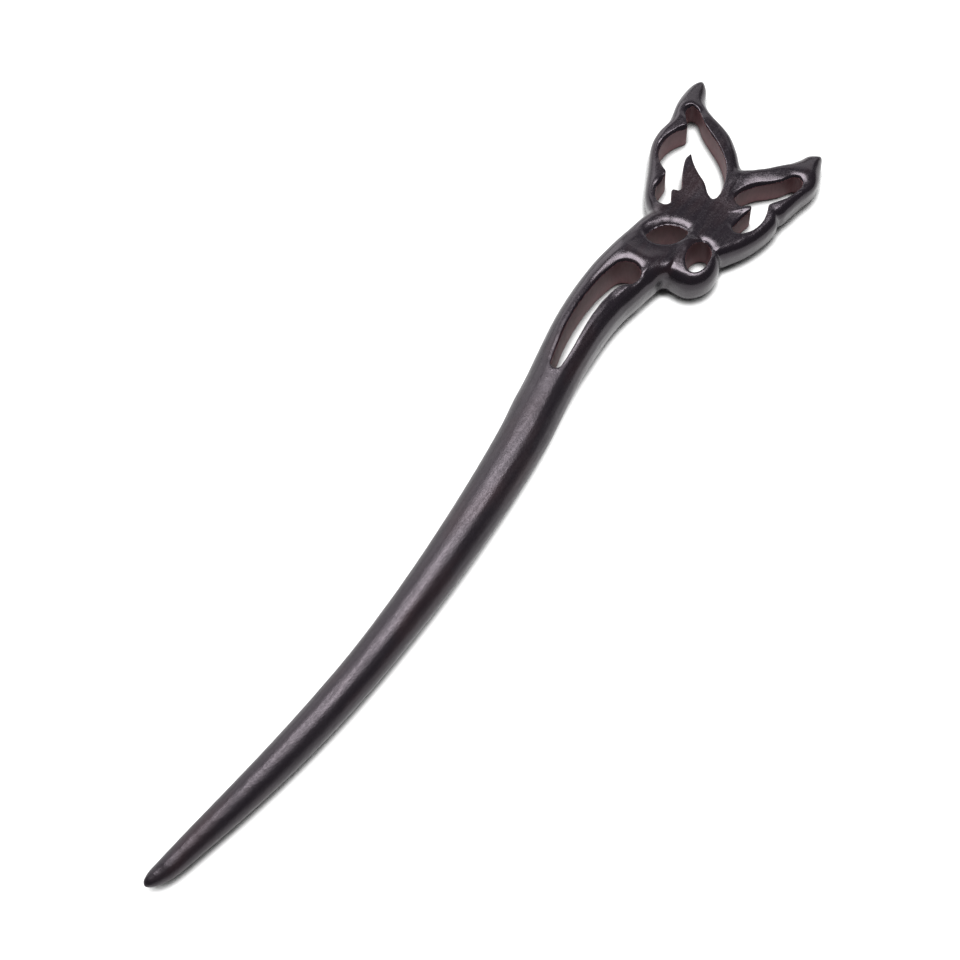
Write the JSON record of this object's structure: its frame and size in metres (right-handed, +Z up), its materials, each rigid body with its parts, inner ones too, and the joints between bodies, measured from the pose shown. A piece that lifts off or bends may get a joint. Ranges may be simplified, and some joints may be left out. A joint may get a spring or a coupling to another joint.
{
  "type": "hair stick",
  "caption": "One-piece carved wooden hair stick with a bowed, tapering round shaft and a flat head pierced as a butterfly with a ring lobe and a slotted neck.",
  "frame": {"origin": "centre of the bounding box's underside, on the surface the hair stick lies on", "axes": "+X from the pointed tip to the butterfly's wings, +Y across the head towards the longer wing, +Z up from the flat back"},
  "size_m": [0.182, 0.0312, 0.0088],
  "materials": {
    "polished_wood": "very dark hardwood, hand polished to a satin gloss, duller on the cut walls of its piercings"
  },
  "bodies": {
    "root": {"hair_stick": "polished_wood"}
  },
  "joints": []
}
